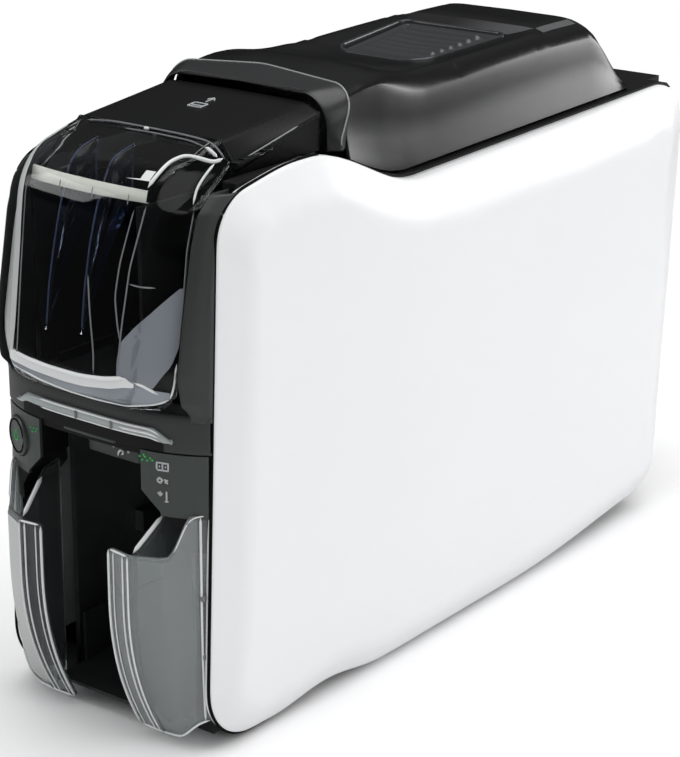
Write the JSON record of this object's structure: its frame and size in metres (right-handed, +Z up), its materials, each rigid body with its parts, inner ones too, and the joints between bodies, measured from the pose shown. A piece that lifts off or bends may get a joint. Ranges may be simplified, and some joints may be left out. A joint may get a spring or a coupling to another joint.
{
  "type": "id card printer",
  "caption": "Narrow desktop card printer with white side panels, smoked flip-up card hopper, hinged black top cover and clear output hopper wings.",
  "frame": {"origin": "middle of the foot print, on the surface the printer stands on", "axes": "+Z up, the front with the card hoppers faces -Y, +X is to the right seen from the front"},
  "size_m": [0.137, 0.4033, 0.275],
  "materials": {
    "panel_white": "satin white moulding",
    "cover_black": "fine grained black moulding",
    "trim_charcoal": "fine grained charcoal",
    "arch_grey": "satin dark grey",
    "button_grey": "ribbed grey moulding",
    "smoked_clear": "polished smoked plastic",
    "wing_clear": "polished clear grey plastic",
    "light_clear": "frosted light guide",
    "base_dark": "plain dark moulding",
    "foot_rubber": "soft black",
    "sheet_steel": "zinc plated",
    "shaft_steel": "ground",
    "gear_white": "acetal",
    "pinion_brass": "machined",
    "belt_black": "moulded",
    "ribbon_black": "thin film",
    "spool_grey": "moulded",
    "sticky_blue": "tacky sleeve",
    "head_ceramic": "moulded with ceramic edge",
    "board_green": "solder mask",
    "jack_black": "moulded"
  },
  "bodies": {
    "case": {"base_pan": "base_dark", "rubber_feet": "foot_rubber", "left_side_panel": "panel_white", "right_side_panel": "panel_white", "front_bezel": "trim_charcoal", "lower_front_frame": "trim_charcoal", "left_control_panel": "trim_charcoal", "right_control_panel": "trim_charcoal", "light_bar": "light_clear", "exit_tab": "trim_charcoal", "left_wing": "wing_clear", "right_wing": "wing_clear", "output_tray": "trim_charcoal", "left_frame": "sheet_steel", "right_frame": "sheet_steel", "cross_bars": "sheet_steel", "card_hopper": "base_dark", "card_path": "base_dark", "exit_chute": "base_dark", "top_deck": "trim_charcoal", "rear_panel": "base_dark", "main_board": "board_green", "dc_jack": "jack_black", "usb_socket": "sheet_steel", "lan_socket": "sheet_steel", "drive_motor": "shaft_steel", "drive_belts": "belt_black", "housing_screws": "shaft_steel", "ribbon_film": "ribbon_black"},
    "lid": {"top_cover": "cover_black", "arch_trim": "arch_grey", "printhead_bracket": "sheet_steel", "printhead": "head_ceramic", "lid_hinge_pins": "shaft_steel", "latch_spring": "sheet_steel"},
    "latch": {"latch_button": "button_grey"},
    "hooks": {"latch_hooks": "sheet_steel"},
    "hopper_cover": {"hopper_top_cover": "cover_black", "front_door": "smoked_clear", "door_ribs": "smoked_clear"},
    "power_key": {"power_button": "button_grey"},
    "weight": {"card_weight": "base_dark"},
    "picker": {"pick_shaft": "shaft_steel", "pick_rubbers": "foot_rubber"},
    "front_feed": {"front_feed_shaft": "shaft_steel", "front_feed_rubbers": "foot_rubber"},
    "platen": {"platen_shaft": "shaft_steel", "platen_rubber": "foot_rubber", "platen_gear": "gear_white"},
    "rear_feed": {"rear_feed_shaft": "shaft_steel", "rear_feed_rubbers": "foot_rubber"},
    "front_pinch": {"front_pinch_roller": "shaft_steel"},
    "rear_pinch": {"rear_pinch_roller": "shaft_steel"},
    "cleaner": {"cleaning_roller": "sticky_blue"},
    "pinion": {"motor_pinion": "pinion_brass"},
    "idler": {"idler_gear": "gear_white"},
    "takeup": {"takeup_spool": "spool_grey", "takeup_roll": "ribbon_black"},
    "supply": {"supply_spool": "spool_grey", "supply_roll": "ribbon_black"}
  },
  "joints": [
    {"name": "top_cover_hinge", "type": "hinge", "parent": "case", "child": "lid", "pos_m": [0, 0.158, 0.2365], "axis": [-1, 0, 0], "range_deg": [0, 88]},
    {"name": "latch_press", "type": "slide", "parent": "lid", "child": "latch", "axis": [0, 0, -1], "range_m": [0, 0.003], "stiffness_N_per_m": 600, "springref_m": -0.002, "deforming": ["latch_spring"]},
    {"name": "latch_hook_turn", "type": "hinge", "parent": "lid", "child": "hooks", "pos_m": [0, 0.03, 0.243], "axis": [-1, 0, 0], "range_deg": [0, 14]},
    {"name": "hopper_cover_hinge", "type": "hinge", "parent": "case", "child": "hopper_cover", "pos_m": [0, -0.0929, 0.248], "axis": [-1, 0, 0], "range_deg": [0, 50]},
    {"name": "power_button_press", "type": "slide", "parent": "case", "child": "power_key", "axis": [0.3877, 0.9218, 0], "range_m": [0, 0.0015], "stiffness_N_per_m": 800, "springref_m": -0.001},
    {"name": "card_weight_lift", "type": "slide", "parent": "case", "child": "weight", "axis": [0, 0, 1], "range_m": [0, 0.07]},
    {"name": "idler_gear_spin", "type": "hinge", "parent": "case", "child": "idler", "pos_m": [0, -0.01, 0.0995], "axis": [1, 0, 0], "continuous": true},
    {"name": "motor_spin", "type": "hinge", "parent": "case", "child": "pinion", "pos_m": [0, 0.0275, 0.0995], "axis": [1, 0, 0], "continuous": true},
    {"name": "platen_spin", "type": "hinge", "parent": "case", "child": "platen", "pos_m": [0, -0.01, 0.1445], "axis": [1, 0, 0], "continuous": true},
    {"name": "front_feed_spin", "type": "hinge", "parent": "case", "child": "front_feed", "pos_m": [0, -0.076, 0.1445], "axis": [1, 0, 0], "continuous": true},
    {"name": "rear_feed_spin", "type": "hinge", "parent": "case", "child": "rear_feed", "pos_m": [0, 0.046, 0.1445], "axis": [1, 0, 0], "continuous": true},
    {"name": "pick_spin", "type": "hinge", "parent": "case", "child": "picker", "pos_m": [0, -0.122, 0.1474], "axis": [1, 0, 0], "continuous": true},
    {"name": "front_pinch_spin", "type": "hinge", "parent": "case", "child": "front_pinch", "pos_m": [0, -0.076, 0.1579], "axis": [1, 0, 0], "continuous": true},
    {"name": "rear_pinch_spin", "type": "hinge", "parent": "case", "child": "rear_pinch", "pos_m": [0, 0.046, 0.1579], "axis": [1, 0, 0], "continuous": true},
    {"name": "cleaning_spin", "type": "hinge", "parent": "case", "child": "cleaner", "pos_m": [0, -0.048, 0.1602], "axis": [1, 0, 0], "continuous": true},
    {"name": "takeup_spin", "type": "hinge", "parent": "case", "child": "takeup", "pos_m": [0, -0.06, 0.202], "axis": [1, 0, 0], "continuous": true},
    {"name": "supply_spin", "type": "hinge", "parent": "case", "child": "supply", "pos_m": [0, 0.05, 0.202], "axis": [1, 0, 0], "continuous": true}
  ],
  "couplings": [
    {"joint": "motor_spin", "follows": "idler_gear_spin", "ratio": -4},
    {"joint": "platen_spin", "follows": "idler_gear_spin", "ratio": -2},
    {"joint": "front_feed_spin", "follows": "idler_gear_spin", "ratio": -2},
    {"joint": "rear_feed_spin", "follows": "idler_gear_spin", "ratio": -2},
    {"joint": "pick_spin", "follows": "idler_gear_spin", "ratio": -2},
    {"joint": "takeup_spin", "follows": "idler_gear_spin", "ratio": -2},
    {"joint": "front_pinch_spin", "follows": "idler_gear_spin", "ratio": 3},
    {"joint": "rear_pinch_spin", "follows": "idler_gear_spin", "ratio": 3},
    {"joint": "cleaning_spin", "follows": "idler_gear_spin", "ratio": 2.1429},
    {"joint": "supply_spin", "follows": "idler_gear_spin", "ratio": -1.4118},
    {"joint": "latch_hook_turn", "follows": "latch_press", "rad_per_m": 74}
  ]
}
